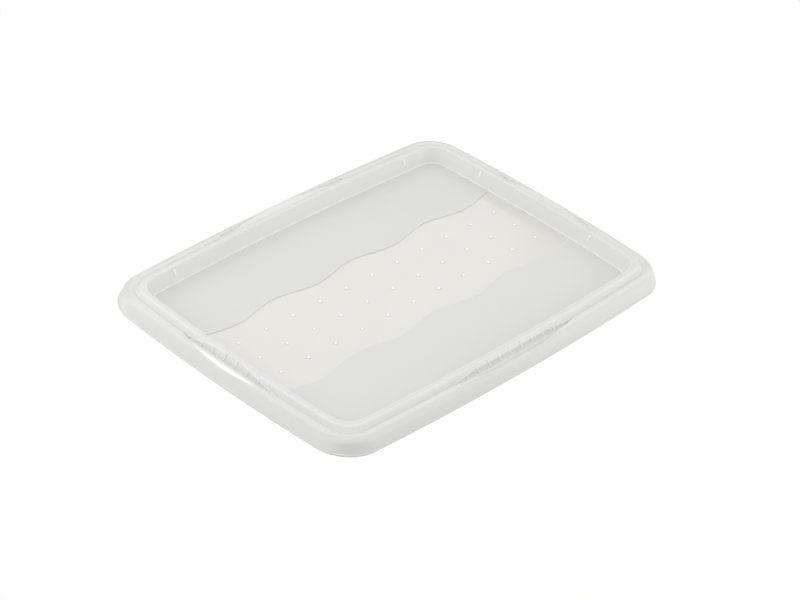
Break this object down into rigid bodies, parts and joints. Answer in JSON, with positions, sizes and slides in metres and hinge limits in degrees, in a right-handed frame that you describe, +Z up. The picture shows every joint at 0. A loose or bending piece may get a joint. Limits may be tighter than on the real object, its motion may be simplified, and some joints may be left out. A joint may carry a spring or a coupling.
{
  "type": "storage box lid",
  "caption": "Press-on lid of a plastic storage box: bowed rounded-rectangle tray lid with a rolled rim, ribbed finger dishes on each side and a wavy polished band across its recessed floor",
  "frame": {"origin": "centre of the lid's outline, on the plane that the lip stands on", "axes": "X along the long sides, Y across, Z up"},
  "size_m": [0.3948, 0.286, 0.0168],
  "materials": {
    "rim_plastic": "satin milky translucent",
    "frosted_plastic": "fine frosted",
    "band_plastic": "polished milky translucent"
  },
  "bodies": {
    "root": {"rim_lip": "rim_plastic", "leaning_skirt": "rim_plastic", "outer_shoulder": "rim_plastic", "crown_rail": "rim_plastic", "recess_wall": "rim_plastic", "floor_field_front": "frosted_plastic", "floor_field_rear": "frosted_plastic", "wave_band": "band_plastic", "band_domes": "band_plastic", "grip_dish_front": "rim_plastic", "grip_dish_rear": "rim_plastic", "grip_dish_left": "rim_plastic", "grip_dish_right": "rim_plastic", "grip_ribs_front": "rim_plastic", "grip_ribs_rear": "rim_plastic", "grip_ribs_left": "rim_plastic", "grip_ribs_right": "rim_plastic", "stacking_nibs": "rim_plastic", "catch_beads": "rim_plastic"}
  },
  "joints": []
}
